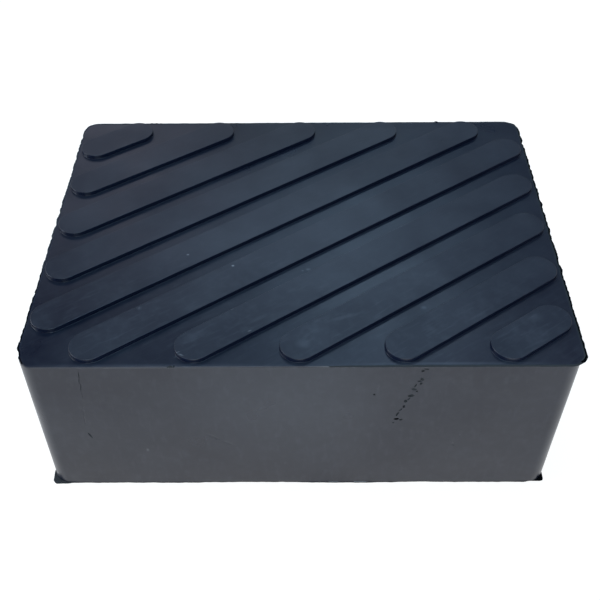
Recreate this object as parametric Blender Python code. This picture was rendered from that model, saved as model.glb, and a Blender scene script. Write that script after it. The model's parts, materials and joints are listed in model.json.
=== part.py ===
"""Rubber pad for the arm of a vehicle lift.

One moulding: a rectangular block that lies flat on its underside and carries a field of
slanted grip ribs with round ends. Flash, where the mould halves met, runs round the block as
two thin fins: one level with the channel floor, one level with the underside.

The origin is at the centre of the underside. X is the long side, Y the short side, Z up.
Sizes are in metres.
"""

import math

import bmesh
import bpy
from mathutils import Matrix, Vector

# Overall size
PAD_WIDTH = 0.160
PAD_DEPTH = 0.120
PAD_HEIGHT = 0.060

# Block
CORNER_RADIUS = 0.006

# Fin of flash round the channel floor: widest on the short sides, thicker at its root
TOP_FIN_SIDE_REACH = 0.0009
TOP_FIN_FRONT_REACH = 0.0002
TOP_FIN_ROOT = 0.0009
TOP_FIN_EDGE = 0.0004
TOP_FIN_CORNER = 0.0050

# Fin of flash at the underside: nearly square at the corners of the block
BASE_FIN_REACH = 0.0003
BASE_FIN_ROOT = 0.0009
BASE_FIN_EDGE = 0.0004
BASE_FIN_CORNER = 0.0016

# Grip ribs
RIB_HEIGHT = 0.0014
RIB_WIDTH = 0.0114
RIB_PITCH = 0.01735
RIB_SLANT = math.radians(35.25)
RIB_DRAFT = math.radians(4.5)
RIB_SIDE_MARGIN = 0.0007
RIB_FRONT_MARGIN = 0.0012
RIB_EDGE_RADIUS = 0.0003
RIB_ROOT_DEPTH = 0.0010

# Facets
CORNER_SEGMENTS = 8
RIB_END_SEGMENTS = 18
RIB_EDGE_SEGMENTS = 2

# Finish
RUBBER_COLOR = (0.017, 0.019, 0.024, 1.0)
RUBBER_ROUGHNESS = 0.55

FLOOR_HEIGHT = PAD_HEIGHT - RIB_HEIGHT


def clear_scene():
    for item in list(bpy.data.objects):
        bpy.data.objects.remove(item, do_unlink=True)


def make_collection(name):
    collection = bpy.data.collections.new(name)
    bpy.context.scene.collection.children.link(collection)
    return collection


def rubber_material():
    material = bpy.data.materials.new("black_rubber")
    material.use_nodes = True
    shader = material.node_tree.nodes["Principled BSDF"]
    shader.inputs["Base Color"].default_value = RUBBER_COLOR
    shader.inputs["Roughness"].default_value = RUBBER_ROUGHNESS
    shader.inputs["Metallic"].default_value = 0.0
    return material


def object_from_bmesh(name, bm, collection):
    bmesh.ops.recalc_face_normals(bm, faces=bm.faces)
    mesh = bpy.data.meshes.new(name)
    bm.to_mesh(mesh)
    bm.free()
    item = bpy.data.objects.new(name, mesh)
    collection.objects.link(item)
    return item


def rounded_rectangle(side_reach, front_reach, corner, height):
    """Points of the block's outline, moved out by the reaches, with corners of that radius."""
    half_x = PAD_WIDTH / 2 + side_reach - corner
    half_y = PAD_DEPTH / 2 + front_reach - corner
    points = []
    for quarter, (side_x, side_y) in enumerate(((1, 1), (-1, 1), (-1, -1), (1, -1))):
        for step in range(CORNER_SEGMENTS + 1):
            angle = math.radians(90.0) * (quarter + step / CORNER_SEGMENTS)
            points.append(
                Vector(
                    (
                        side_x * half_x + corner * math.cos(angle),
                        side_y * half_y + corner * math.sin(angle),
                        height,
                    )
                )
            )
    return points


def block_sections():
    """Sections of the block from the underside up.

    Each one is its reach past the side walls and past the front and back walls, the radius of
    its corners, and its height.
    """
    return (
        (BASE_FIN_REACH, BASE_FIN_REACH, BASE_FIN_CORNER, 0.0),
        (BASE_FIN_REACH, BASE_FIN_REACH, BASE_FIN_CORNER, BASE_FIN_EDGE),
        (0.0, 0.0, CORNER_RADIUS, BASE_FIN_ROOT),
        (0.0, 0.0, CORNER_RADIUS, FLOOR_HEIGHT - TOP_FIN_ROOT),
        (TOP_FIN_SIDE_REACH, TOP_FIN_FRONT_REACH, TOP_FIN_CORNER, FLOOR_HEIGHT - TOP_FIN_EDGE),
        (TOP_FIN_SIDE_REACH, TOP_FIN_FRONT_REACH, TOP_FIN_CORNER, FLOOR_HEIGHT),
    )


def make_block(name, collection):
    """Loft through the sections, closed by the underside and the channel floor."""
    bm = bmesh.new()
    rings = []
    for section in block_sections():
        rings.append([bm.verts.new(point) for point in rounded_rectangle(*section)])
    for lower, upper in zip(rings, rings[1:]):
        for index in range(len(lower)):
            after = (index + 1) % len(lower)
            bm.faces.new((lower[index], lower[after], upper[after], upper[index]))
    bm.faces.new(rings[0])
    bm.faces.new(rings[-1])
    return object_from_bmesh(name, bm, collection)


def clip_to_band(start, direction, half_width):
    """Range of t for which start + t * direction stays within half_width of zero."""
    first = (-half_width - start) / direction
    last = (half_width - start) / direction
    return min(first, last), max(first, last)


def rib_centre_lines():
    """Centre of each rib and the distance between the centres of its two round ends.

    The centre lines are parallel, one pitch apart, with a channel across the middle of the
    pad. Each is cut to length so that the rib ends one margin inside the block's walls.
    """
    half_x = PAD_WIDTH / 2 - RIB_SIDE_MARGIN - RIB_WIDTH / 2
    half_y = PAD_DEPTH / 2 - RIB_FRONT_MARGIN - RIB_WIDTH / 2
    along = Vector((math.cos(RIB_SLANT), math.sin(RIB_SLANT)))
    across = Vector((math.sin(RIB_SLANT), -math.cos(RIB_SLANT)))
    farthest = half_x * across.x - half_y * across.y
    pairs = int(farthest / RIB_PITCH + 0.5)
    lines = []
    for index in range(-pairs, pairs):
        start = across * RIB_PITCH * (index + 0.5)
        low_x, high_x = clip_to_band(start.x, along.x, half_x)
        low_y, high_y = clip_to_band(start.y, along.y, half_y)
        low = max(low_x, low_y)
        high = min(high_x, high_y)
        if high > low:
            lines.append((start + along * (low + high) / 2, high - low))
    return lines


def make_rib(name, centre, straight, collection):
    """Drafted rib: a cone frustum pulled out lengthwise between its two round halves."""
    spread = RIB_ROOT_DEPTH * math.tan(RIB_DRAFT)
    crest = RIB_WIDTH / 2
    root = crest + RIB_HEIGHT * math.tan(RIB_DRAFT) + spread
    bm = bmesh.new()
    bmesh.ops.create_cone(
        bm,
        cap_ends=True,
        segments=2 * RIB_END_SEGMENTS,
        radius1=root,
        radius2=crest,
        depth=RIB_HEIGHT + RIB_ROOT_DEPTH,
        matrix=Matrix.Rotation(math.pi / (2 * RIB_END_SEGMENTS), 4, "Z"),
    )
    for vert in bm.verts:
        vert.co.x += math.copysign(straight / 2, vert.co.x)
    top = max(vert.co.z for vert in bm.verts)
    rim = [edge for edge in bm.edges if all(math.isclose(v.co.z, top) for v in edge.verts)]
    bmesh.ops.bevel(
        bm,
        geom=rim,
        offset=RIB_EDGE_RADIUS,
        segments=RIB_EDGE_SEGMENTS,
        profile=0.5,
        affect="EDGES",
    )
    middle = FLOOR_HEIGHT + (RIB_HEIGHT - RIB_ROOT_DEPTH) / 2
    place = Matrix.Translation((centre.x, centre.y, middle))
    bmesh.ops.transform(bm, matrix=place @ Matrix.Rotation(RIB_SLANT, 4, "Z"), verts=bm.verts)
    rib = object_from_bmesh(name, bm, collection)
    rib.display_type = "WIRE"
    rib.hide_render = True
    return rib


def build():
    clear_scene()
    pad_collection = make_collection("lift_arm_rubber_pad")
    rib_collection = make_collection("ribs_to_join")
    pad = make_block("rubber_pad", pad_collection)
    pad.data.materials.append(rubber_material())
    for number, (centre, straight) in enumerate(rib_centre_lines(), start=1):
        make_rib(f"rib_{number:02d}", centre, straight, rib_collection)
    join = pad.modifiers.new("join_ribs", "BOOLEAN")
    join.operation = "UNION"
    join.operand_type = "COLLECTION"
    join.collection = rib_collection
    join.solver = "EXACT"


build()
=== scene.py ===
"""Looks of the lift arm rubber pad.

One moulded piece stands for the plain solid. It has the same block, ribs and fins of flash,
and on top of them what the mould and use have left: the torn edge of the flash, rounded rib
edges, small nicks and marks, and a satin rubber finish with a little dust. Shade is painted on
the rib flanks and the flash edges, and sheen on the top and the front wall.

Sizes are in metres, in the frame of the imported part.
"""

import json
import math

import bmesh
import bpy
from mathutils import Matrix, Vector, noise

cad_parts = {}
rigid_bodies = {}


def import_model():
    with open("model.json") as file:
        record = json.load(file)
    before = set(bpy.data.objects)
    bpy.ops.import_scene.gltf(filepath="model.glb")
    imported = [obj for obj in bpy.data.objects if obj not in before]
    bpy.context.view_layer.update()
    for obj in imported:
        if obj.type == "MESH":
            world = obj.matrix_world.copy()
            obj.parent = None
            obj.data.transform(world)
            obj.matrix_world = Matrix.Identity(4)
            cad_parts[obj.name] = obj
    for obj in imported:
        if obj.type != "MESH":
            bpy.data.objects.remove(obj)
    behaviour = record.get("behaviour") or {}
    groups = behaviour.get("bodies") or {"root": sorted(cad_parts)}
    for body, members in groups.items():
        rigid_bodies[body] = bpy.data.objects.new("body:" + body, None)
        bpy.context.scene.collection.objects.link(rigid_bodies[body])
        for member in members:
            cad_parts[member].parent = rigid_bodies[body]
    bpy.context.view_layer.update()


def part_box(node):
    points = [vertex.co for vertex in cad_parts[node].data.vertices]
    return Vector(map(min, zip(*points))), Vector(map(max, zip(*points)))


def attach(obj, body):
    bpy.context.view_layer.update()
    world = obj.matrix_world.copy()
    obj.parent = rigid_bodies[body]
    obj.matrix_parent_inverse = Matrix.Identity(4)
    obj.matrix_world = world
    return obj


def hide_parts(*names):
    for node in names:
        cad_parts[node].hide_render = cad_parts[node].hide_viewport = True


for item in list(bpy.data.objects):
    bpy.data.objects.remove(item, do_unlink=True)
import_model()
PAD_NODE = "rubber_pad"
PAD_LOW, PAD_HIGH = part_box(PAD_NODE)
PAD_MIDDLE = (PAD_LOW + PAD_HIGH) / 2

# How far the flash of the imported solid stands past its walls
TOP_FIN_SIDE_REACH = 0.0009
TOP_FIN_FRONT_REACH = 0.0002
BASE_FIN_REACH = 0.0003

# Block, from the frame, with the height of the ribs and the wall corners of the solid
HALF_X = PAD_HIGH.x - TOP_FIN_SIDE_REACH
HALF_Y = PAD_HIGH.y - BASE_FIN_REACH
CREST_HEIGHT = PAD_HIGH.z
RIB_HEIGHT = 0.0014
FLOOR_HEIGHT = CREST_HEIGHT - RIB_HEIGHT
CORNER_RADIUS = 0.006

# Walls as the photo shows them: tighter corners, a lean to the left towards the base given by
# the shifts at the underside and at the channel floor, and a faint wave
WALL_CORNER = 0.0047
WALL_SHIFT_LOW = -0.00077
WALL_SHIFT_HIGH = 0.00008
WALL_RINGS = 5
WALL_WAVE = 0.00006
WALL_WAVE_LENGTH = 0.035

# Flash round the channel floor: a fin, wider than the solid's on three sides
TOP_FIN_CORNER = 0.0050
TOP_FIN_EDGE = 0.0004
TOP_FIN_ROOT = 0.0009
RIGHT_FIN_EXTRA = 0.00060
FRONT_FIN_EXTRA = 0.00018
BACK_FIN_EXTRA = 0.00025

# Low lip at the edge of the fin: its height, which is lowest in front, its width, how much the
# height varies, and the share of it that is missing on the right
LIP_RISE = 0.00011
FRONT_LIP_RISE = 0.00002
LIP_WIDTH = 0.0007
LIP_LIFT = 0.00004
RIGHT_LIP_FLAT = 0.75

# Torn outer edge of the lip: how ragged it is, over a long and a short length
TEAR_LENGTHS = (0.0031, 0.0011)
TEAR_SHARES = (0.75, 0.45)
SIDE_TEAR = 0.00046
FRONT_TEAR = 0.00008
BACK_TEAR = 0.00014

# Bevel of the torn edge: in front it widens to the right, from the start to where it is full
SIDE_BEVEL = 0.00034
RIGHT_BEVEL_EXTRA = 0.00020
BACK_BEVEL = 0.00040
FRONT_BEVEL = 0.00014
FRONT_RIGHT_BEVEL = 0.00052
FRONT_RIGHT_START = 0.000
FRONT_RIGHT_FULL = 0.026

# Bare torn rubber, also laid as painted shade along the flash: how many strips of the fin's
# section can be bare, how wide the border of a side is, up to where the left side is painted
# dark, and from where on the front is bare and painted darker
TORN_AND_SHADE_STRIPS = 5
SIDE_BORDER = 0.0010
LEFT_DARK_SHADE_TO = -0.020
FRONT_BARE_AND_SHADE_FROM = 0.008

# Where the top flash is torn away at its front left corner
CORNER_TEAR_PLACE = Vector((-0.0795, -0.0570))
CORNER_TEAR_NEAR = 0.0016
CORNER_TEAR_FAR = 0.0052
CORNER_TEAR_DEPTH = 0.0009

# Flash round the underside: bowed in along the front, with a wider web left on one front
# corner and less on the other. A web is full within the near distance of its corner and ends
# at the far one, and is bare, with painted shade, from a least extra reach on
LEFT_WEB_REACH = 0.00028
RIGHT_WEB_REACH = -0.0003
WEB_NEAR = 0.0042
WEB_FAR = 0.0066
WEB_SEEN = 0.00015
BASE_FIN_CORNER = 0.0016
BASE_FIN_EDGE = 0.0003
BASE_FIN_ROOT = 0.0006
BASE_FIN_RAGGED = 0.00014
BASE_BOW = 0.00028
BASE_BOW_LENGTH = 0.030

# Grip ribs
RIB_WIDTH = 0.0114
RIB_PITCH = 0.01735
RIB_SLANT = math.radians(35.25)
RIB_DRAFT = math.radians(4.5)
RIB_SIDE_MARGIN = 0.0007
RIB_FRONT_MARGIN = 0.0012
RIB_EDGE_RADIUS = 0.00014
RIB_ROOT_FILLET = 0.00008
RIB_SUNK = 0.0008
RIB_BACK_GAP = 0.0002
RIB_WAVE = 0.00005
RIB_WAVE_LENGTH = 0.012

# Spacing of the mesh
OUTLINE_STEP = 0.0006
CORNER_STEPS = 16
RIB_STEP = 0.0012
RIB_END_STEPS = 24
EDGE_STEPS = 3
SHARP_ANGLE = math.radians(38.0)
NORMAL_WEIGHT = 100

# Smooth noise for edges and walls
RIPPLE_ROUGHNESS = 1.0
RIPPLE_SPACING = 2.0
RIPPLE_LAYERS = 2

# Camera of the photograph, which is a square of 600 pixels
IMAGE_WIDTH_PX = 600
FOCAL_PX = 871.6
CAMERA_PLACE = Vector((0.00203, -0.21894, 0.24465))
CAMERA_PITCH = math.radians(45.18)
CAMERA_YAW = math.radians(-0.60)
CAMERA_ROLL = math.radians(0.64)
SENSOR_WIDTH_MM = 36.0
CAMERA_CLIP_START = 0.01

# Studio: a white table, just under the pad so that the two never share a plane
FLOOR_SIZE = 6.0
FLOOR_DROP = 0.0002
FLOOR_COLOR = (0.84, 0.80, 0.74, 1.0)
FLOOR_GLOW = 0.93
FLOOR_SHADE = 0.20
WORLD_COLOR = (1.0, 0.97, 0.90, 1.0)
WORLD_SEEN_COLOR = (1.0, 1.0, 1.0, 1.0)
WORLD_STRENGTH = 1.0
LIGHT_DISTANCE = 1.15
# Name, azimuth (0 behind the pad, 90 on its right), elevation, size, power, colour
SOFT_LIGHTS = (
    ("sheen", 7.0, 47.0, (0.30, 0.30), 0.87, (0.50, 0.74, 1.0)),
    ("sheen_left", -19.0, 35.0, (0.30, 0.30), 0.38, (0.86, 0.86, 1.0)),
    ("sheen_right", 26.0, 58.0, (0.30, 0.30), 0.13, (1.0, 0.85, 1.0)),
    ("sheen_low", 0.0, 22.0, (0.30, 0.30), 0.16, (0.85, 1.0, 0.80)),
    ("overhead", 0.0, 88.0, (0.60, 0.60), 7.6, (0.45, 0.75, 1.0)),
    ("front_fill", 180.0, 20.0, (0.60, 0.60), 5.0, (0.75, 0.90, 1.0)),
    ("left_fill", -90.0, 22.0, (0.60, 0.60), 7.5, (0.85, 0.93, 1.0)),
)
CEILING_SIZE = 10.0
CEILING_HEIGHT = 1.2
CEILING_COLOR = (0.75, 1.0, 1.35, 1.0)
CEILING_GLOW = 0.05

# Rubber
RUBBER_COLOR = (0.0040, 0.0060, 0.0165, 1.0)
# Painted shade on the steep flanks of the ribs and on the lip of the flash, laid over the dust
FLANK_SHADE_COLOR = (0.0060, 0.0100, 0.0260, 1.0)
# Colour of the dust, and of the painted sheen on the top and painted reflection on the front wall
DUST_AND_SHEEN_COLOR = (0.072, 0.078, 0.098, 1.0)
SPECK_COLOR = (0.30, 0.31, 0.33, 1.0)
RUBBER_IOR = 1.47
CHANNEL_ROUGHNESS = 0.32
CREST_ROUGHNESS = 0.40
FLANK_ROUGHNESS = -0.10
# Depths below the crests where their finish starts and is full, and heights above the channel
# floor where the painted shade and smoother gloss of the flanks start and are full
CREST_START = RIB_EDGE_RADIUS
CREST_FULL = 0.3 * RIB_EDGE_RADIUS
FLANK_START = 0.00003
FLANK_FULL = 0.00007
# Uneven gloss and dust: the most they add, their lengths, and the noise where they start and
# are full
GLOSS_PATCH = 0.050
GLOSS_PATCH_LENGTH = 0.016
GLOSS_PATCH_RANGE = (0.3, 0.7)
DUST_PATCH = 0.20
DUST_PATCH_LENGTH = 0.020
DUST_PATCH_RANGE = (0.35, 0.75)
DUST_GRAIN = 0.16
DUST_GRAIN_LENGTH = 0.0028
DUST_GRAIN_RANGE = (0.46, 0.76)
WISP = 0.20
WISP_SIZE = Vector((0.0075, 0.0011, 0.0050))
WISP_RANGE = (0.56, 0.80)
# Grain and wisps thicken to the front between these two places, from this share of them
WORN_FROM = -0.005
WORN_FULL = -0.045
WORN_LEAST = 0.3
# Share of the dust and painted sheen on the crests that the channels have
CHANNEL_DUST_AND_SHEEN = 0.58
# Painted sheen on top and painted reflection in front, wide and soft: strength, middle and half
# size
TOP_PAINTED_SHEEN = 0.24
TOP_PAINTED_SHEEN_PLACE = Vector((-0.009, -0.006, 0.060))
TOP_PAINTED_SHEEN_SPREAD = Vector((0.080, 0.054, 0.040))
FACE_PAINTED_REFLECTION = 0.35
FACE_PAINTED_REFLECTION_PLACE = Vector((-0.003, -0.060, 0.046))
FACE_PAINTED_REFLECTION_SPREAD = Vector((0.054, 0.030, 0.046))
# Bump of the surface
SWELL_HEIGHT = 0.000034
SWELL_LENGTH = 0.0085
GRAIN_HEIGHT = 0.0000035
GRAIN_LENGTH = 0.00045

# Torn and nicked rubber, also used as painted shade on the edges of the flash
SATIN = 0
TORN_AND_SHADE = 1
NICKED_AND_SHADE = 2
# Near-black bare rubber, which is also the painted shade on the flash edges and base webs
TORN_AND_SHADE_COLOR = (0.0030, 0.0040, 0.0050, 1.0)
NICKED_AND_SHADE_COLOR = (0.0330, 0.0350, 0.0390, 1.0)
TORN_ROUGHNESS = 0.85
TORN_AND_SHADE_SPECULAR = 0.0
NICKED_AND_SHADE_SPECULAR = 0.25

# Uneven lumps, for nicks and nibs. The seeds keep them different. The lump of a nick is a
# multiple of the nick's depth thick, or at least a share of its width
BLOB_RADIUS = 0.5
BLOB_SUBDIVISIONS = 2
BLOB_UNEVEN = 0.35
BLOB_NOISE = 1.3
BLOB_SEED_STEPS = (3.1, 1.7)
TOP_NICK_SEED = 40
NIB_SEED = 60
CAP_THICKNESS = 4
CAP_LEAST_THICKNESS = 0.3
CAP_LEAST_SQUARE = 0.05
CRACK_OVERLAP = 1.15
NIB_DROP = TOP_FIN_EDGE / 3
NIB_TALLNESS = 1.6 * TOP_FIN_EDGE

# Marks, in millimetres on the pad and degrees. Nicks are bare, and dark, from these depths on
MM = 0.001
NICKED_DEPTH = 0.12
TORN_DEPTH = 0.60
SPOT_THICKNESS = 1.2
# On the front wall: place across, height, width, tallness, slant, depth
FRONT_NICKS = (
    (35.8, 56.9, 1.7, 0.7, 10, 0.16),
    (34.8, 56.2, 1.0, 1.1, 20, 0.30),
    (34.0, 54.3, 1.8, 0.4, 0, 0.06),
    (34.9, 52.5, 1.0, 1.7, -20, 0.28),
    (34.2, 51.6, 1.3, 0.8, 0, 0.22),
    (34.8, 50.6, 0.9, 1.2, 0, 0.30),
    (36.6, 53.2, 1.6, 0.4, 0, 0.06),
    (33.2, 49.6, 0.7, 1.6, 15, 0.20),
    (33.0, 48.0, 1.7, 1.3, 20, 0.26),
    (33.9, 47.0, 0.6, 0.9, 0, 0.30),
    (32.4, 45.0, 2.1, 1.5, 0, 0.34),
    (31.0, 42.5, 1.0, 1.4, 0, 0.45),
    (31.8, 43.6, 0.6, 1.6, 30, 0.14),
    (30.6, 40.0, 0.9, 1.4, 0, 0.45),
    (29.7, 38.4, 0.6, 1.7, 35, 0.24),
    (29.0, 36.4, 0.7, 2.1, 15, 0.34),
    (28.9, 34.0, 1.6, 0.9, -8, 0.62),
    (30.2, 33.6, 1.3, 0.7, -12, 0.50),
    (28.0, 32.2, 0.6, 0.6, 0, 0.18),
    (21.6, 45.6, 0.7, 0.9, 0, 0.26),
    (23.0, 49.0, 0.3, 3.0, 25, 0.03),
    (-64.4, 26.0, 0.6, 3.0, -18, 0.15),
    (-74.0, 20.0, 1.0, 1.6, 0, 0.03),
    (47.3, 21.1, 0.7, 1.8, -20, 0.04),
    (48.9, 25.4, 0.5, 1.4, 0, 0.04),
    (-27.0, 25.6, 5.0, 0.9, 35, 0.02),
    (-22.6, 22.0, 5.0, 0.8, 35, 0.02),
)
# Crack down the front wall: place across, height, and the width and depth below it
FRONT_CRACK = (
    (-62.5, 55.9, 0.24, 0.13),
    (-62.8, 53.2, 0.24, 0.14),
    (-63.2, 51.3, 0.18, 0.06),
    (-62.8, 50.6, 0.26, 0.14),
    (-63.3, 47.8, 0.22, 0.07),
    (-63.3, 43.5, 0.40, 0.06),
    (-64.1, 39.5, 0.50, 0.07),
    (-64.6, 36.0, 0.45, 0.06),
    (-64.9, 31.9, 0.0, 0.0),
)
# On the top: place across and along, length, width, slant, depth
TOP_NICKS = (
    (31.8, -23.9, 0.9, 0.6, 0, 0.10),
    (31.2, -22.9, 0.6, 0.5, 0, 0.08),
    (52.9, -17.6, 1.3, 0.5, 20, 0.05),
    (51.6, 45.9, 1.6, 0.6, 70, 0.05),
    (-15.6, -48.4, 0.8, 0.4, 30, 0.05),
    (-18.9, -39.5, 0.8, 0.4, 40, 0.05),
    (-48.6, -38.3, 0.3, 2.0, 0, 0.04),
    (-34.9, -56.6, 1.5, 0.4, 30, 0.06),
    (69.7, -14.5, 0.9, 0.7, 0, 0.10),
)
# Cut into the edge of the top flash: place across and along, width, depth inward, tallness
LIP_NOTCHES = (
    (-36.2, -60.45, 1.8, 1.0, 1.4),
    (-35.2, -60.15, 0.5, 1.0, 0.6),
)
# Left standing on the back edge: place across, width, reach
BACK_NIBS = ((-56.0, 1.1, 0.45), (-54.3, 1.2, 0.45), (-52.6, 1.0, 0.35), (51.1, 1.7, 0.70))
# Pale scuffs and painted lip highlights: place across and along, height, length, width, slant,
# strength
SCUFFS_AND_LIP_HIGHLIGHTS = (
    (32.7, -1.5, 60.0, 15.0, 2.4, 31, 0.30),
    (41.0, -15.0, 60.0, 9.0, 2.4, 28, 0.55),
    (29.8, -21.6, 60.0, 3.0, 2.2, 0, 0.40),
    (37.0, -37.4, 58.6, 2.6, 2.2, 0, 0.60),
    (70.3, -32.9, 60.0, 1.8, 0.9, -50, 0.60),
    (69.0, -43.2, 60.0, 7.5, 4.6, 30, 0.18),
    (13.3, -42.5, 60.0, 14.0, 2.2, 20, 0.30),
    (18.0, -48.0, 60.0, 22.0, 2.6, 33, 0.26),
    (-47.6, -38.5, 60.0, 2.2, 2.4, 0, 0.40),
    (-31.0, -50.5, 60.0, 9.0, 5.0, 33, 0.22),
    (-12.0, -43.0, 60.0, 12.0, 2.4, 33, 0.22),
    (1.0, -53.0, 60.0, 6.0, 5.0, 0, 0.30),
    # Painted highlights: these two brighten the lip of the front flash, on the right and on the
    # left
    (44.0, -59.3, 58.6, 84.0, 1.6, 0, 0.35),
    (-42.0, -60.0, 58.4, 110.0, 2.4, 0, 0.40),
)
# Specks of pale dust: place across and along, height, length, width, slant, strength
SPECKS = (
    (-47.8, -60.0, 18.5, 1.4, 1.4, 0, 0.18),
    (-35.3, -15.1, 60.0, 1.3, 1.0, 0, 0.60),
    (-20.8, -20.3, 60.0, 1.3, 1.1, 0, 0.85),
    (2.6, -20.6, 58.6, 2.4, 1.8, 0, 0.20),
    (0.9, -21.2, 58.6, 1.3, 0.9, 0, 0.20),
    (-14.4, -47.9, 60.0, 1.9, 0.8, 30, 0.35),
    (-19.9, -39.0, 60.0, 1.6, 0.7, 40, 0.40),
    (-33.4, -57.0, 60.0, 2.4, 0.7, -25, 0.45),
    (-34.3, -56.0, 60.0, 1.6, 0.6, 30, 0.35),
    (-47.6, -38.6, 60.0, 0.6, 1.8, 0, 0.12),
)


def new_object(name, bm, collection=None):
    mesh = bpy.data.meshes.new(name)
    bm.to_mesh(mesh)
    bm.free()
    for material in (satin_rubber, torn_rubber_and_painted_shade, nicked_rubber_and_painted_shade):
        mesh.materials.append(material)
    item = bpy.data.objects.new(name, mesh)
    (collection or bpy.context.scene.collection).objects.link(item)
    return item


def outline_places():
    """Steps round a rounded rectangle: place between the corner centres, and outward angle.

    The place is a pair in -1 to 1, so that one list serves outlines of any corner radius.
    """
    corners = ((1, 1), (-1, 1), (-1, -1), (1, -1))
    places = []
    for index, (x, y) in enumerate(corners):
        start = 90.0 * index
        for step in range(CORNER_STEPS + 1):
            places.append((x, y, math.radians(start + 90.0 * step / CORNER_STEPS)))
        next_x, next_y = corners[(index + 1) % 4]
        side = HALF_X if next_x != x else HALF_Y
        count = round(2 * (side - CORNER_RADIUS) / OUTLINE_STEP)
        for step in range(1, count):
            t = step / count
            places.append((x + (next_x - x) * t, y + (next_y - y) * t, math.radians(start + 90)))
    return places


def ripple(point, length):
    """Smooth noise in about -1 to 1 that changes over the given length."""
    return noise.fractal(point / length, RIPPLE_ROUGHNESS, RIPPLE_SPACING, RIPPLE_LAYERS)


def outline_point(place, reach_x, reach_y, corner, height, push=0.0):
    """Point of an outline that stands past the walls by the reaches, and pushed outward."""
    x, y, angle = place
    out = Vector((math.cos(angle), math.sin(angle), 0.0))
    centre = Vector((x * (HALF_X + reach_x - corner), y * (HALF_Y + reach_y - corner), height))
    return centre + out * (corner + push)


def smooth_step(value, start, end):
    """Zero before the start, one after the end, with a smooth change between them."""
    share = min(1.0, max(0.0, (value - start) / (end - start)))
    return share * share * (3 - 2 * share)


def facing(place):
    """How much the outline faces the front, the back and the right here, each 0 to 1."""
    x, y = math.cos(place[2]), math.sin(place[2])
    return max(0.0, -y) ** 2, max(0.0, y) ** 2, max(0.0, x) ** 2


def tear(place, anchor):
    """How ragged the torn edge of the top flash is at this place, and how wide its bevel."""
    across = math.cos(place[2]) ** 2
    along = 1.0 - across
    if math.sin(place[2]) > 0:
        return (
            SIDE_TEAR * across + BACK_TEAR * along,
            SIDE_BEVEL * across + BACK_BEVEL * along,
        )
    right = smooth_step(anchor.x, FRONT_RIGHT_START, FRONT_RIGHT_FULL)
    bevel = FRONT_BEVEL + (FRONT_RIGHT_BEVEL - FRONT_BEVEL) * right
    return SIDE_TEAR * across + FRONT_TEAR * along, SIDE_BEVEL * across + bevel * along


def wall_rings():
    """Rings of the block from the underside to the root of the top flash.

    Each is its reach past the walls, corner radius, height, and how far its edge is torn.
    """
    rings = [
        (BASE_FIN_REACH, BASE_FIN_CORNER, 0.0, BASE_FIN_RAGGED),
        (BASE_FIN_REACH, BASE_FIN_CORNER, BASE_FIN_EDGE, BASE_FIN_RAGGED),
        (0.0, WALL_CORNER, BASE_FIN_ROOT, 0.0),
    ]
    wall_top = FLOOR_HEIGHT - TOP_FIN_ROOT
    for step in range(1, WALL_RINGS + 1):
        height = BASE_FIN_ROOT + (wall_top - BASE_FIN_ROOT) * step / WALL_RINGS
        rings.append((0.0, WALL_CORNER, height, 0.0))
    return rings


def web_reach(point):
    """Extra reach of the base flash near the two front corners."""
    reach = 0.0
    for side, extra in ((-1, LEFT_WEB_REACH), (1, RIGHT_WEB_REACH)):
        away = math.hypot(point.x - side * HALF_X, point.y + HALF_Y)
        reach += extra * (1.0 - smooth_step(away, WEB_NEAR, WEB_FAR))
    return reach


def wall_point(place, ring):
    """Point of a ring: ragged and bowed along the base flash, faintly wavy up the wall."""
    reach, corner, height, torn = ring
    anchor = outline_point(place, 0.0, 0.0, CORNER_RADIUS, height)
    if torn:
        edge = outline_point(place, reach, reach, corner, height)
        push = torn * ripple(anchor, TEAR_LENGTHS[0]) + web_reach(edge)
        bow = BASE_BOW * (1.0 + ripple(anchor, BASE_BOW_LENGTH))
        push -= bow * facing(place)[0]
    else:
        push = WALL_WAVE * ripple(anchor, WALL_WAVE_LENGTH)
    shift = WALL_SHIFT_LOW + (WALL_SHIFT_HIGH - WALL_SHIFT_LOW) * height / FLOOR_HEIGHT
    return outline_point(place, reach, reach, corner, height, push) + Vector((shift, 0.0, 0.0))


def corner_loss(place):
    """How far the top flash is torn back near its front left corner."""
    edge = outline_point(place, TOP_FIN_SIDE_REACH, TOP_FIN_FRONT_REACH, TOP_FIN_CORNER, 0.0)
    distance = (edge.to_2d() - CORNER_TEAR_PLACE).length
    return CORNER_TEAR_DEPTH * (1 - smooth_step(distance, CORNER_TEAR_NEAR, CORNER_TEAR_FAR))


def lip_section(bevel, rise):
    """Section of the top flash from its underside over its torn edge to the channel floor.

    Each row is a share of the fin's reach, a push outward, a share of the tear, and a height.
    """
    low_edge = FLOOR_HEIGHT - TOP_FIN_EDGE
    ridge = FLOOR_HEIGHT + rise
    return (
        (0.75, -TOP_FIN_EDGE / 4, 0.6, low_edge - 0.1 * TOP_FIN_EDGE),
        (1.0, 0.0, 1.0, low_edge + 0.1 * TOP_FIN_EDGE),
        (1.0, -0.35 * bevel, 1.0, low_edge + 0.60 * (ridge - low_edge)),
        (1.0, -bevel, 0.7, ridge),
        (1.0, -bevel - 0.25 * LIP_WIDTH, 0.6, FLOOR_HEIGHT + 0.75 * rise),
        (1.0, -bevel - 0.7 * LIP_WIDTH, 0.2, FLOOR_HEIGHT + 0.2 * rise),
        (1.0, -bevel - LIP_WIDTH, 0.0, FLOOR_HEIGHT),
    )


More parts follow.
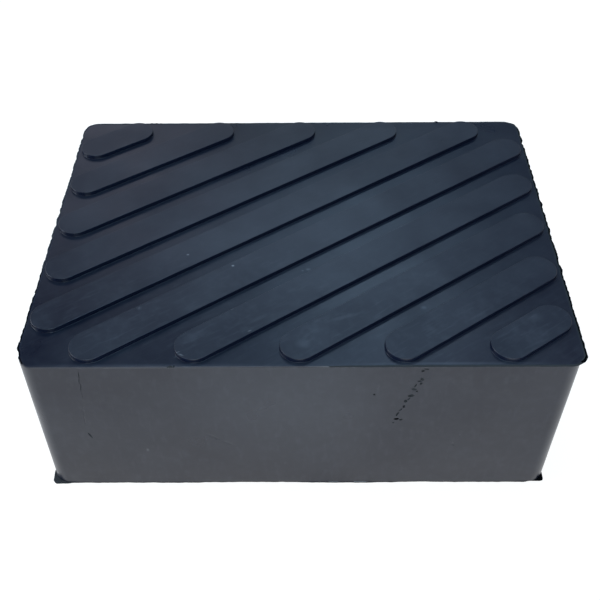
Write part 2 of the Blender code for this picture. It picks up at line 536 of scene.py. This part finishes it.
def lip_points(place):
    """Points of the top flash at this place, in the order of its section."""
    anchor = outline_point(place, 0.0, 0.0, CORNER_RADIUS, 0.0)
    front, back, right = facing(place)
    ragged, bevel = tear(place, anchor)
    bevel += RIGHT_BEVEL_EXTRA * right
    long, short = TEAR_LENGTHS
    long_share, short_share = TEAR_SHARES
    torn = ragged * (long_share * ripple(anchor, long) + short_share * ripple(anchor, short))
    away = corner_loss(place)
    away -= RIGHT_FIN_EXTRA * right + FRONT_FIN_EXTRA * front + BACK_FIN_EXTRA * back
    lift = (LIP_RISE + LIP_LIFT * ripple(anchor, 2 * long)) * (1 - RIGHT_LIP_FLAT * right)
    rise = lift + (FRONT_LIP_RISE - lift) * front
    points = []
    for share, outward, raggedness, height in lip_section(bevel, rise):
        corner = WALL_CORNER + (TOP_FIN_CORNER - WALL_CORNER) * share
        points.append(
            outline_point(
                place,
                TOP_FIN_SIDE_REACH * share,
                TOP_FIN_FRONT_REACH * share,
                corner,
                height,
                outward + torn * raggedness - away,
            )
        )
    return points


def torn_and_shade_surface(middle, strip):
    """Surface of a strip of the top flash: bare where torn, and painted shade along its edge,
    darkest at the right and front left.
    """
    if middle.y < -HALF_Y + SIDE_BORDER:
        bare = middle.x > FRONT_BARE_AND_SHADE_FROM and strip < TORN_AND_SHADE_STRIPS - 2
        return NICKED_AND_SHADE if bare else SATIN
    right = middle.x > HALF_X - SIDE_BORDER
    if strip == TORN_AND_SHADE_STRIPS - 1:
        return NICKED_AND_SHADE if right or middle.y > HALF_Y - SIDE_BORDER else SATIN
    dark = right or (middle.x < 0 and middle.y < LEFT_DARK_SHADE_TO)
    return TORN_AND_SHADE if dark else NICKED_AND_SHADE


def base_surface(middle, strip):
    """Surface of a strip of the base flash: bare at its edge and over the corner webs, as painted
    shade there.
    """
    if strip == 0:
        return TORN_AND_SHADE
    if strip > 1 or abs(web_reach(middle)) < WEB_SEEN:
        return SATIN
    return TORN_AND_SHADE if middle.x > 0 else NICKED_AND_SHADE


def make_shell():
    """The block with both fins of flash, closed by the underside and the channel floor."""
    bm = bmesh.new()
    columns = []
    for place in outline_places():
        points = [wall_point(place, ring) for ring in wall_rings()] + lip_points(place)
        columns.append([bm.verts.new(point) for point in points])
    fin_start = len(wall_rings())
    for left, right in zip(columns, columns[1:] + columns[:1]):
        for index in range(len(left) - 1):
            face = bm.faces.new((left[index], right[index], right[index + 1], left[index + 1]))
            middle = face.calc_center_median()
            # Strips of the flash: bare where torn, and painted shade along their edges
            if fin_start <= index < fin_start + TORN_AND_SHADE_STRIPS:
                face.material_index = torn_and_shade_surface(middle, index - fin_start)
            else:
                face.material_index = base_surface(middle, index)
    bm.faces.new([column[0] for column in columns])
    bm.faces.new([column[-1] for column in columns])
    bmesh.ops.recalc_face_normals(bm, faces=bm.faces)
    return new_object("pad_moulding", bm)


def clip_to_band(start, direction, half_width):
    """Range of t for which start + t * direction stays within half_width of zero."""
    first = (-half_width - start) / direction
    last = (half_width - start) / direction
    return min(first, last), max(first, last)


def rib_centre_lines():
    """The two end centres of each rib: parallel lines cut to length by the pad's outline."""
    half_x = HALF_X - RIB_SIDE_MARGIN - RIB_WIDTH / 2
    half_y = HALF_Y - RIB_FRONT_MARGIN - RIB_WIDTH / 2
    back_y = half_y - RIB_BACK_GAP
    along = Vector((math.cos(RIB_SLANT), math.sin(RIB_SLANT)))
    across = Vector((math.sin(RIB_SLANT), -math.cos(RIB_SLANT)))
    farthest = half_x * across.x - half_y * across.y
    pairs = int(farthest / RIB_PITCH + 0.5)
    lines = []
    for index in range(-pairs, pairs):
        start = across * RIB_PITCH * (index + 0.5)
        low_x, high_x = clip_to_band(start.x, along.x, half_x)
        low_y, high_y = clip_to_band(start.y, along.y, half_y)
        low = max(low_x, low_y)
        high = min(high_x, high_y, (back_y - start.y) / along.y)
        if high > low:
            lines.append((start + along * low, start + along * high))
    return lines


def rib_rings():
    """Rings of a rib from its sunk root up: distance from the centre line, and height."""
    crest = RIB_WIDTH / 2
    root = crest + RIB_HEIGHT * math.tan(RIB_DRAFT)
    rings = [(root + RIB_ROOT_FILLET, FLOOR_HEIGHT - RIB_SUNK)]
    for step in range(EDGE_STEPS + 1):
        angle = math.radians(90.0) * step / EDGE_STEPS
        rings.append(
            (
                root + RIB_ROOT_FILLET * (1 - math.sin(angle)),
                FLOOR_HEIGHT + RIB_ROOT_FILLET * (1 - math.cos(angle)),
            )
        )
    for step in range(EDGE_STEPS + 1):
        angle = math.radians(90.0) * step / EDGE_STEPS
        rings.append(
            (
                crest - RIB_EDGE_RADIUS * (1 - math.cos(angle)),
                CREST_HEIGHT - RIB_EDGE_RADIUS * (1 - math.sin(angle)),
            )
        )
    return rings


def rib_outline(first, last):
    """Steps round a rib: point on its centre line, and outward direction."""
    along = (last - first).normalized()
    left = Vector((-along.y, along.x))
    count = max(2, round((last - first).length / RIB_STEP))
    steps = []
    for end, side in ((last, 1), (first, -1)):
        for step in range(RIB_END_STEPS + 1):
            angle = math.radians(-90.0 + 180.0 * step / RIB_END_STEPS)
            out = (along * math.cos(angle) + left * math.sin(angle)) * side
            steps.append((end, out))
        other = first if side == 1 else last
        for step in range(1, count):
            steps.append((end.lerp(other, step / count), left * side))
    return steps


def make_rib(name, first, last, collection):
    """Rib with round ends and a faint wave in its sides."""
    bm = bmesh.new()
    outline = rib_outline(first, last)
    rings = []
    for radius, height in rib_rings():
        ring = []
        for centre, out in outline:
            place = centre + out * radius
            wave = RIB_WAVE * ripple(place.to_3d(), RIB_WAVE_LENGTH)
            ring.append(bm.verts.new((place + out * wave).to_3d() + Vector((0, 0, height))))
        rings.append(ring)
    for lower, upper in zip(rings, rings[1:]):
        for index in range(len(lower)):
            after = (index + 1) % len(lower)
            bm.faces.new((lower[index], lower[after], upper[after], upper[index]))
    bm.faces.new(rings[0])
    bm.faces.new(rings[-1])
    bmesh.ops.recalc_face_normals(bm, faces=bm.faces)
    return new_object(name, bm, collection)


def make_blob(name, place, size, turn, collection, seed, surface=TORN_AND_SHADE):
    """Small lump with an uneven surface, for cutting a nick or leaving a nib."""
    bm = bmesh.new()
    bmesh.ops.create_icosphere(bm, subdivisions=BLOB_SUBDIVISIONS, radius=BLOB_RADIUS)
    step_x, step_y = BLOB_SEED_STEPS
    for vert in bm.verts:
        away = vert.co / BLOB_RADIUS + Vector((seed * step_x, seed * step_y, 0.0))
        vert.co *= 1.0 + BLOB_UNEVEN * noise.noise(away * BLOB_NOISE)
    for face in bm.faces:
        face.material_index = surface
    matrix = Matrix.Translation(place) @ turn.to_4x4() @ Matrix.Diagonal(Vector(size)).to_4x4()
    bmesh.ops.transform(bm, matrix=matrix, verts=bm.verts)
    return new_object(name, bm, collection)


def cap_size(width, depth):
    """The flat lump that cuts a cap of this width and depth into a face.

    Returns its thickness, how far its middle stands off the face, and the share of the lump's
    width that the cap has.
    """
    thick = max(CAP_THICKNESS * depth, CAP_LEAST_THICKNESS * width)
    off = thick / 2 - depth
    share = math.sqrt(max(CAP_LEAST_SQUARE, 1.0 - (2 * off / thick) ** 2))
    return thick, off, share


def nick_surface(depth):
    """Surface inside a nick: the deeper it is, the more it looks torn."""
    if depth < NICKED_DEPTH:
        return SATIN
    return NICKED_AND_SHADE if depth < TORN_DEPTH else TORN_AND_SHADE


def top_height(place):
    """Height of the top at this place: the crest of a rib, or the channel floor."""
    for first, last in rib_centre_lines():
        along = last - first
        share = min(1.0, max(0.0, (place - first).dot(along) / along.length_squared))
        if (place - first - along * share).length < RIB_WIDTH / 2:
            return CREST_HEIGHT
    return FLOOR_HEIGHT


def crack_nicks():
    """The crack as a chain of thin nicks, in the form of the front nicks."""
    nicks = []
    for (x, z, width, depth), (next_x, next_z, _, _) in zip(FRONT_CRACK, FRONT_CRACK[1:]):
        length = math.hypot(x - next_x, z - next_z)
        slant = math.degrees(math.atan2(x - next_x, z - next_z))
        middle = ((x + next_x) / 2, (z + next_z) / 2)
        nicks.append((*middle, width, CRACK_OVERLAP * length, slant, depth))
    return tuple(nicks)


def make_front_nicks(collection):
    for number, (x, z, width, tall, slant, depth) in enumerate(FRONT_NICKS + crack_nicks()):
        thick, off, share = cap_size(min(width, tall), depth)
        place = Vector((x, -HALF_Y / MM - off, z)) * MM
        turn = Matrix.Rotation(math.radians(slant), 3, "Y")
        size = (width * MM / share, thick * MM, tall * MM / share)
        surface = nick_surface(depth)
        make_blob(f"front_nick_{number:02d}", place, size, turn, collection, number, surface)


def make_top_nicks(collection):
    for number, (x, y, long, wide, slant, depth) in enumerate(TOP_NICKS):
        thick, off, share = cap_size(min(long, wide), depth)
        height = top_height(Vector((x, y)) * MM)
        place = Vector((x * MM, y * MM, height + off * MM))
        turn = Matrix.Rotation(math.radians(slant), 3, "Z")
        size = (long * MM / share, wide * MM / share, thick * MM)
        seed = number + TOP_NICK_SEED
        make_blob(f"top_nick_{number:02d}", place, size, turn, collection, seed, SATIN)


def make_notches(collection):
    for number, (x, y, wide, deep, tall) in enumerate(LIP_NOTCHES):
        place = Vector((x, y, FLOOR_HEIGHT / MM)) * MM
        size = Vector((wide, deep, tall)) * MM
        upright = Matrix.Identity(3)
        make_blob(f"notch_{number:02d}", place, size, upright, collection, number, NICKED_AND_SHADE)


def make_nibs(collection):
    for number, (x, wide, reach) in enumerate(BACK_NIBS):
        place = Vector((x * MM, HALF_Y, FLOOR_HEIGHT - NIB_DROP))
        size = (wide * MM, 2 * reach * MM, NIB_TALLNESS)
        upright = Matrix.Identity(3)
        make_blob(f"nib_{number:02d}", place, size, upright, collection, number + NIB_SEED)


def new_collection(name):
    collection = bpy.data.collections.new(name)
    bpy.context.scene.collection.children.link(collection)
    return collection


def apply_boolean(target, operation, collection):
    """Join or cut the target with everything in the collection, and remove the collection."""
    cut = target.modifiers.new(operation.lower(), "BOOLEAN")
    cut.operation = operation
    cut.operand_type = "COLLECTION"
    cut.collection = collection
    cut.solver = "EXACT"
    evaluated = target.evaluated_get(bpy.context.evaluated_depsgraph_get())
    result = bpy.data.meshes.new_from_object(evaluated)
    target.modifiers.remove(cut)
    target.data = result
    for item in list(collection.objects):
        bpy.data.objects.remove(item, do_unlink=True)
    bpy.data.collections.remove(collection)


def shade(item):
    """Smooth shading inside rounded edges, sharp at steep folds, flat on the big faces."""
    bm = bmesh.new()
    bm.from_mesh(item.data)
    for face in bm.faces:
        face.smooth = True
    for edge in bm.edges:
        edge.smooth = len(edge.link_faces) == 2 and edge.calc_face_angle() < SHARP_ANGLE
    bm.to_mesh(item.data)
    bm.free()
    weighted = item.modifiers.new("weighted_normals", "WEIGHTED_NORMAL")
    weighted.keep_sharp = True
    weighted.weight = NORMAL_WEIGHT


def make_pad():
    """The whole moulding: the shell, joined to its ribs and nibs and cut by its nicks."""
    pad = make_shell()
    ribs = new_collection("ribs_to_join")
    for number, (first, last) in enumerate(rib_centre_lines(), start=1):
        make_rib(f"rib_{number:02d}", first, last, ribs)
    make_nibs(ribs)
    apply_boolean(pad, "UNION", ribs)
    marks = new_collection("marks_to_cut")
    make_front_nicks(marks)
    make_top_nicks(marks)
    make_notches(marks)
    apply_boolean(pad, "DIFFERENCE", marks)
    shade(pad)
    return pad


def add_node(tree, kind, **values):
    """New shader node, with its properties and its inputs' values set by name."""
    node = tree.nodes.new(kind)
    for name, value in values.items():
        if name in node.inputs:
            node.inputs[name].default_value = value
        else:
            setattr(node, name, value)
    return node


def math_node(tree, operation, first, second):
    """Sum, product and so on of two values, each of them a number or an output."""
    node = add_node(tree, "ShaderNodeMath", operation=operation)
    for socket, value in zip(node.inputs, (first, second)):
        if isinstance(value, (int, float)):
            socket.default_value = value
        else:
            tree.links.new(value, socket)
    return node.outputs[0]


def noise_field(tree, place, length, detail=2.0):
    """Smooth noise of about 0 to 1 over the given length."""
    field = add_node(tree, "ShaderNodeTexNoise", Scale=1.0 / length, Detail=detail)
    tree.links.new(place, field.inputs["Vector"])
    return field.outputs["Fac"]


def map_range(tree, value, low, high, to_low, to_high, smooth=False):
    """The value carried over from one range to another, and held at its ends."""
    ends = {"From Min": low, "From Max": high, "To Min": to_low, "To Max": to_high}
    node = add_node(tree, "ShaderNodeMapRange", **ends)
    node.interpolation_type = "SMOOTHSTEP" if smooth else "LINEAR"
    tree.links.new(value, node.inputs["Value"])
    return node.outputs["Result"]


def local_place(tree, place, size, angle, middle=(0.0, 0.0, 0.0)):
    """The place seen from the middle, in steps of the size along and across the angle."""
    turn = (0.0, 0.0, angle)
    node = add_node(
        tree,
        "ShaderNodeMapping",
        vector_type="TEXTURE",
        Location=middle,
        Rotation=turn,
        Scale=size,
    )
    tree.links.new(place, node.inputs["Vector"])
    return node.outputs["Vector"]


def soft_patch(tree, place, middle, size, angle, strength):
    """Strength at the middle of an oval patch, fading to none at its rim."""
    length = add_node(tree, "ShaderNodeVectorMath", operation="LENGTH")
    tree.links.new(local_place(tree, place, size, angle, middle), length.inputs[0])
    return map_range(tree, length.outputs["Value"], 0.0, 1.0, strength, 0.0, smooth=True)


def spots(tree, place, patches, total=None):
    """Small soft patches from one of the tables of marks and painted highlights, laid over what
    is there already.
    """
    for x, y, z, long, wide, slant, strength in patches:
        middle = Vector((x, y, z)) * MM
        size = Vector((long / 2, wide / 2, SPOT_THICKNESS)) * MM
        spot = soft_patch(tree, place, middle, size, math.radians(slant), strength)
        total = spot if total is None else math_node(tree, "ADD", total, spot)
    return total


def fine_dust(tree, place, along):
    """Grain and wisps of dust, which thicken to the front."""
    grain = noise_field(tree, place, DUST_GRAIN_LENGTH, detail=3.0)
    wisp_place = local_place(tree, place, WISP_SIZE, RIB_SLANT)
    wisps = noise_field(tree, wisp_place, 1.0, detail=1.0)
    fine = math_node(
        tree,
        "ADD",
        map_range(tree, grain, *DUST_GRAIN_RANGE, 0.0, DUST_GRAIN),
        map_range(tree, wisps, *WISP_RANGE, 0.0, WISP),
    )
    worn = map_range(tree, along, WORN_FROM, WORN_FULL, WORN_LEAST, 1.0)
    return math_node(tree, "MULTIPLY", fine, worn)


def dust_and_sheen_amount(tree, place, axes, crest):
    """Dust and painted light: uneven patches, fine dust, painted sheen on top, a painted
    reflection in front, and the scuffs.
    """
    noisy = noise_field(tree, place, DUST_PATCH_LENGTH)
    patches = map_range(tree, noisy, *DUST_PATCH_RANGE, 0.0, DUST_PATCH)
    uneven = math_node(tree, "ADD", patches, fine_dust(tree, place, axes.outputs["Y"]))
    # Painted sheen: a wide pale patch over the middle of the top
    top = soft_patch(tree, place, TOP_PAINTED_SHEEN_PLACE, TOP_PAINTED_SHEEN_SPREAD, 0.0, TOP_PAINTED_SHEEN)
    share = map_range(tree, crest, 0.0, 1.0, CHANNEL_DUST_AND_SHEEN, 1.0)
    total = math_node(tree, "MULTIPLY", math_node(tree, "ADD", uneven, top), share)
    # Painted reflection: a wide pale patch on the front wall, brightest at its top middle
    front = soft_patch(tree, place, FACE_PAINTED_REFLECTION_PLACE, FACE_PAINTED_REFLECTION_SPREAD, 0.0, FACE_PAINTED_REFLECTION)
    low, high = FLOOR_HEIGHT - TOP_FIN_ROOT, FLOOR_HEIGHT - TOP_FIN_EDGE
    below = map_range(tree, axes.outputs["Z"], low, high, 1.0, 0.0)
    total = math_node(tree, "ADD", total, math_node(tree, "MULTIPLY", front, below))
    return spots(tree, place, SCUFFS_AND_LIP_HIGHLIGHTS, total)


def layer(tree, below, color, factor):
    """Lay a plain colour over the colour below, which is plain too or an output."""
    mix = add_node(tree, "ShaderNodeMix", data_type="RGBA")
    mix.clamp_factor = True
    if isinstance(below, tuple):
        mix.inputs["A"].default_value = below
    else:
        tree.links.new(below, mix.inputs["A"])
    mix.inputs["B"].default_value = color
    tree.links.new(factor, mix.inputs["Factor"])
    return mix.outputs["Result"]


def height_masks(tree, axes):
    """One on the crests, and one on the steep flanks of the ribs and the flash's lip, for painted
    shade and gloss.
    """
    height = axes.outputs["Z"]
    low, high = CREST_HEIGHT - CREST_START, CREST_HEIGHT - CREST_FULL
    crest = map_range(tree, height, low, high, 0.0, 1.0)
    low, high = FLOOR_HEIGHT + FLANK_START, FLOOR_HEIGHT + FLANK_FULL
    raised = map_range(tree, height, low, high, 0.0, 1.0)
    flank = math_node(tree, "SUBTRACT", raised, crest)
    return crest, flank


def rubber_bump(tree, place):
    """Normal of a surface that swells faintly and has a fine grain."""
    swell = math_node(tree, "MULTIPLY", noise_field(tree, place, SWELL_LENGTH), SWELL_HEIGHT)
    grain = math_node(tree, "MULTIPLY", noise_field(tree, place, GRAIN_LENGTH), GRAIN_HEIGHT)
    bump = add_node(tree, "ShaderNodeBump", Distance=1.0)
    tree.links.new(math_node(tree, "ADD", swell, grain), bump.inputs["Height"])
    return bump.outputs["Normal"]


def new_material(name):
    """New material, and its node tree."""
    material = bpy.data.materials.new(name)
    material.use_nodes = True
    return material, material.node_tree


def rubber_material():
    """Satin rubber, smooth from the mould in the channels and rubbed rougher on the crests."""
    material, tree = new_material("satin_black_rubber")
    shader = tree.nodes["Principled BSDF"]
    shader.inputs["IOR"].default_value = RUBBER_IOR
    place = add_node(tree, "ShaderNodeTexCoord").outputs["Object"]
    axes = add_node(tree, "ShaderNodeSeparateXYZ")
    tree.links.new(place, axes.inputs[0])
    crest, flank = height_masks(tree, axes)

    # Dust, with the painted sheen and painted reflection laid in the same colour
    dust_and_sheen_layer = layer(tree, RUBBER_COLOR, DUST_AND_SHEEN_COLOR, dust_and_sheen_amount(tree, place, axes, crest))
    # Painted shade: the flanks of the ribs and the lip of the flash are darkened over the dust
    flank_shaded = layer(tree, dust_and_sheen_layer, FLANK_SHADE_COLOR, flank)
    color = layer(tree, flank_shaded, SPECK_COLOR, spots(tree, place, SPECKS))
    tree.links.new(color, shader.inputs["Base Color"])

    plain = map_range(tree, crest, 0.0, 1.0, CHANNEL_ROUGHNESS, CREST_ROUGHNESS)
    rough = math_node(tree, "ADD", plain, math_node(tree, "MULTIPLY", flank, FLANK_ROUGHNESS))
    noisy = noise_field(tree, place, GLOSS_PATCH_LENGTH)
    gloss = map_range(tree, noisy, *GLOSS_PATCH_RANGE, -GLOSS_PATCH, GLOSS_PATCH)
    tree.links.new(math_node(tree, "ADD", rough, gloss), shader.inputs["Roughness"])
    tree.links.new(rubber_bump(tree, place), shader.inputs["Normal"])
    return material


def bare_material(name, color, specular):
    """Bare matte rubber where flash was torn away or the surface was nicked, also laid as painted
    shade on flash edges.
    """
    material, tree = new_material(name)
    shader = tree.nodes["Principled BSDF"]
    shader.inputs["Base Color"].default_value = color
    shader.inputs["Roughness"].default_value = TORN_ROUGHNESS
    shader.inputs["Specular IOR Level"].default_value = specular
    return material


def seen_directly(tree):
    """One for rays from the camera, in reflections and through glass, and zero for light."""
    paths = add_node(tree, "ShaderNodeLightPath")
    seen = math_node(
        tree, "MAXIMUM", paths.outputs["Is Camera Ray"], paths.outputs["Is Glossy Ray"]
    )
    return math_node(tree, "MAXIMUM", seen, paths.outputs["Is Transmission Ray"])


def make_plane(name, size, height):
    bpy.ops.mesh.primitive_plane_add(size=size, location=(0.0, 0.0, height))
    plane = bpy.context.object
    plane.name = name
    return plane


def make_floor():
    """Table that is seen white, with a faint shadow, and lights the pad with its own colour."""
    floor = make_plane("studio_floor", FLOOR_SIZE, -FLOOR_DROP)
    material, tree = new_material("white_table")
    tree.nodes.clear()
    grey = (FLOOR_SHADE, FLOOR_SHADE, FLOOR_SHADE, 1.0)
    shaded = add_node(tree, "ShaderNodeBsdfDiffuse", Color=grey)
    glow = add_node(tree, "ShaderNodeEmission", Strength=FLOOR_GLOW)
    white = add_node(tree, "ShaderNodeBsdfDiffuse", Color=FLOOR_COLOR)
    lit = add_node(tree, "ShaderNodeAddShader")
    mix = add_node(tree, "ShaderNodeMixShader")
    output = add_node(tree, "ShaderNodeOutputMaterial")
    tree.links.new(glow.outputs[0], lit.inputs[0])
    tree.links.new(shaded.outputs[0], lit.inputs[1])
    tree.links.new(seen_directly(tree), mix.inputs["Fac"])
    tree.links.new(white.outputs[0], mix.inputs[1])
    tree.links.new(lit.outputs[0], mix.inputs[2])
    tree.links.new(mix.outputs[0], output.inputs["Surface"])
    floor.data.materials.append(material)


def make_world():
    """Surroundings that are seen white and light the pad a little warmer."""
    world = bpy.data.worlds.new("studio")
    bpy.context.scene.world = world
    world.use_nodes = True
    tree = world.node_tree
    background = tree.nodes["Background"]
    background.inputs["Strength"].default_value = WORLD_STRENGTH
    color = layer(tree, WORLD_COLOR, WORLD_SEEN_COLOR, seen_directly(tree))
    tree.links.new(color, background.inputs["Color"])


def make_ceiling():
    """Dim card above the set, which leaves the white surroundings in sight only low down."""
    ceiling = make_plane("studio_ceiling", CEILING_SIZE, CEILING_HEIGHT)
    ceiling.visible_camera = False
    material, tree = new_material("dim_ceiling")
    tree.nodes.clear()
    glow = add_node(tree, "ShaderNodeEmission", Color=CEILING_COLOR, Strength=CEILING_GLOW)
    output = add_node(tree, "ShaderNodeOutputMaterial")
    tree.links.new(glow.outputs[0], output.inputs["Surface"])
    ceiling.data.materials.append(material)


def soft_light(name, place, target, size, power, color):
    """Rectangular light at the place, aimed at the target."""
    data = bpy.data.lights.new(name, "AREA")
    data.shape = "RECTANGLE"
    data.size, data.size_y = size
    data.energy = power
    data.color = color
    light = bpy.data.objects.new(name, data)
    light.location = place
    aim = Vector(target) - Vector(place)
    light.rotation_euler = aim.to_track_quat("-Z", "Y").to_euler()
    bpy.context.scene.collection.objects.link(light)


def make_lights():
    """Four small lights behind for the sheen, and soft ones above, in front and on the left."""
    for name, azimuth, elevation, size, power, color in SOFT_LIGHTS:
        level = math.cos(math.radians(elevation))
        toward = Vector(
            (
                math.sin(math.radians(azimuth)) * level,
                math.cos(math.radians(azimuth)) * level,
                math.sin(math.radians(elevation)),
            )
        )
        soft_light(name, toward * LIGHT_DISTANCE, PAD_MIDDLE, size, power, color)


def make_camera():
    """The photograph's camera: it looks down by the pitch, and its picture is rolled a little."""
    pitch, yaw = CAMERA_PITCH, CAMERA_YAW
    forward = Vector(
        (math.sin(yaw) * math.cos(pitch), math.cos(yaw) * math.cos(pitch), -math.sin(pitch))
    )
    level_right = Vector((math.cos(yaw), -math.sin(yaw), 0.0))
    level_down = forward.cross(level_right)
    right = math.cos(CAMERA_ROLL) * level_right + math.sin(CAMERA_ROLL) * level_down
    down = math.cos(CAMERA_ROLL) * level_down - math.sin(CAMERA_ROLL) * level_right
    turn = Matrix((right, -down, -forward)).transposed().to_4x4()
    data = bpy.data.cameras.new("camera")
    data.sensor_width = SENSOR_WIDTH_MM
    data.lens = FOCAL_PX / IMAGE_WIDTH_PX * SENSOR_WIDTH_MM
    data.clip_start = CAMERA_CLIP_START
    camera = bpy.data.objects.new("camera", data)
    camera.matrix_world = Matrix.Translation(CAMERA_PLACE) @ turn
    bpy.context.scene.collection.objects.link(camera)
    bpy.context.scene.camera = camera


satin_rubber = rubber_material()
torn_rubber_and_painted_shade = bare_material("torn_rubber_and_painted_shade", TORN_AND_SHADE_COLOR, TORN_AND_SHADE_SPECULAR)
nicked_rubber_and_painted_shade = bare_material("nicked_rubber_and_painted_shade", NICKED_AND_SHADE_COLOR, NICKED_AND_SHADE_SPECULAR)
pad = make_pad()
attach(pad, "root")
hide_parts(PAD_NODE)
make_floor()
make_world()
make_ceiling()
make_lights()
make_camera()
bpy.context.scene.view_settings.view_transform = "Standard"
